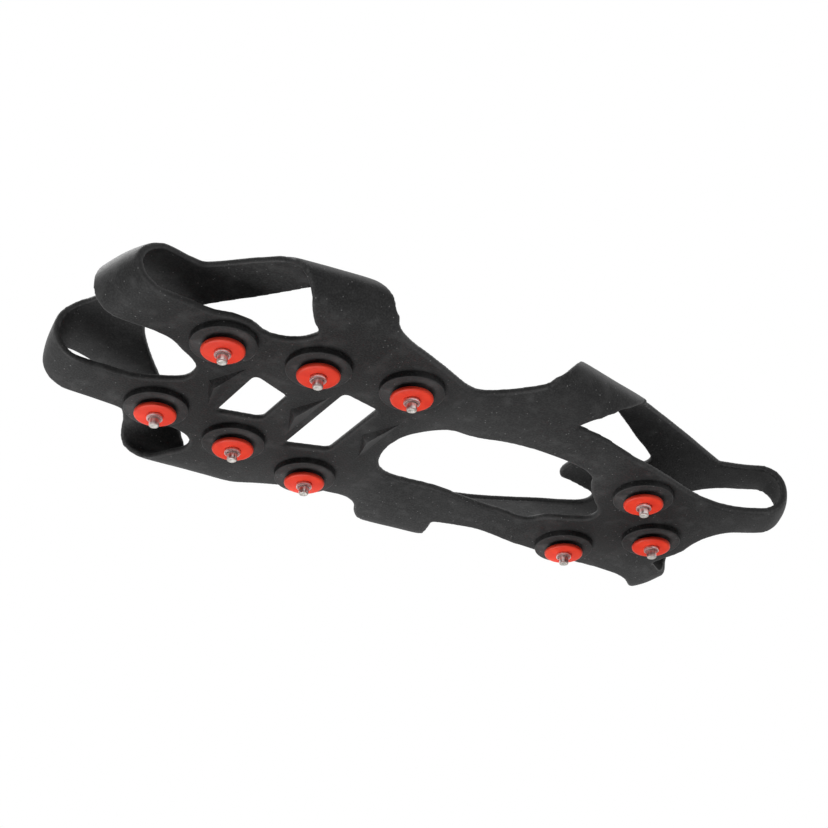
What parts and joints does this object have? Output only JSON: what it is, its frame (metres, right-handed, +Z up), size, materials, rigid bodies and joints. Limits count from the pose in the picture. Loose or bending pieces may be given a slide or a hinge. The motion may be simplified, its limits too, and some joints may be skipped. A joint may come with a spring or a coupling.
{
  "type": "slip-on ice cleat",
  "caption": "Slip-on rubber ice cleat: a stretch overshoe with open straps, a windowed sole and red stud discs, each with a steel collar and a carbide pin, worn over a shoe for grip on ice.",
  "frame": {"origin": "under the middle of the length and width, on the plane of the stud tips", "axes": "+X towards the toe, +Y to one side, +Z up from the stud tips to the foot opening"},
  "size_m": [0.2506, 0.116, 0.0262],
  "materials": {
    "rubber": "matte moulded rubber",
    "red_plastic": "satin moulded plastic",
    "steel": "turned steel",
    "carbide": "ground hard metal",
    "backing": "matte"
  },
  "bodies": {
    "front": {"harness_front": "rubber"},
    "rear": {"harness_rear": "rubber"},
    "stud_1": {"stud_1_disc": "red_plastic", "stud_1_collar": "steel", "stud_1_pin": "carbide", "stud_1_plate": "backing"},
    "stud_2": {"stud_2_disc": "red_plastic", "stud_2_collar": "steel", "stud_2_pin": "carbide", "stud_2_plate": "backing"},
    "stud_3": {"stud_3_disc": "red_plastic", "stud_3_collar": "steel", "stud_3_pin": "carbide", "stud_3_plate": "backing"},
    "stud_4": {"stud_4_disc": "red_plastic", "stud_4_collar": "steel", "stud_4_pin": "carbide", "stud_4_plate": "backing"},
    "stud_5": {"stud_5_disc": "red_plastic", "stud_5_collar": "steel", "stud_5_pin": "carbide", "stud_5_plate": "backing"},
    "stud_6": {"stud_6_disc": "red_plastic", "stud_6_collar": "steel", "stud_6_pin": "carbide", "stud_6_plate": "backing"},
    "stud_7": {"stud_7_disc": "red_plastic", "stud_7_collar": "steel", "stud_7_pin": "carbide", "stud_7_plate": "backing"},
    "stud_8": {"stud_8_disc": "red_plastic", "stud_8_collar": "steel", "stud_8_pin": "carbide", "stud_8_plate": "backing"},
    "stud_9": {"stud_9_disc": "red_plastic", "stud_9_collar": "steel", "stud_9_pin": "carbide", "stud_9_plate": "backing"}
  },
  "joints": [
    {"name": "waist_flex", "type": "hinge", "parent": "front", "child": "rear", "pos_m": [0.00827, 0, 0.01022], "axis": [0, 1, 0], "range_deg": [-45, 80], "stiffness_Nm_per_rad": 0.08},
    {"name": "stud_1_turn", "type": "hinge", "parent": "front", "child": "stud_1", "pos_m": [0.08667, 0.0212, 0.007], "axis": [0, 0, 1], "continuous": true},
    {"name": "stud_2_turn", "type": "hinge", "parent": "front", "child": "stud_2", "pos_m": [0.05742, 0.0256, 0.007], "axis": [0, 0, 1], "continuous": true},
    {"name": "stud_3_turn", "type": "hinge", "parent": "front", "child": "stud_3", "pos_m": [0.02817, 0.031, 0.007], "axis": [0, 0, 1], "continuous": true},
    {"name": "stud_4_turn", "type": "hinge", "parent": "front", "child": "stud_4", "pos_m": [0.08667, -0.0212, 0.007], "axis": [0, 0, 1], "continuous": true},
    {"name": "stud_5_turn", "type": "hinge", "parent": "front", "child": "stud_5", "pos_m": [0.05742, -0.0256, 0.007], "axis": [0, 0, 1], "continuous": true},
    {"name": "stud_6_turn", "type": "hinge", "parent": "front", "child": "stud_6", "pos_m": [0.02817, -0.031, 0.007], "axis": [0, 0, 1], "continuous": true},
    {"name": "stud_7_turn", "type": "hinge", "parent": "rear", "child": "stud_7", "pos_m": [-0.06973, 0.0211, 0.007], "axis": [0, 0, 1], "continuous": true},
    {"name": "stud_8_turn", "type": "hinge", "parent": "rear", "child": "stud_8", "pos_m": [-0.06973, -0.0211, 0.007], "axis": [0, 0, 1], "continuous": true},
    {"name": "stud_9_turn", "type": "hinge", "parent": "rear", "child": "stud_9", "pos_m": [-0.09093, 0, 0.007], "axis": [0, 0, 1], "continuous": true}
  ]
}
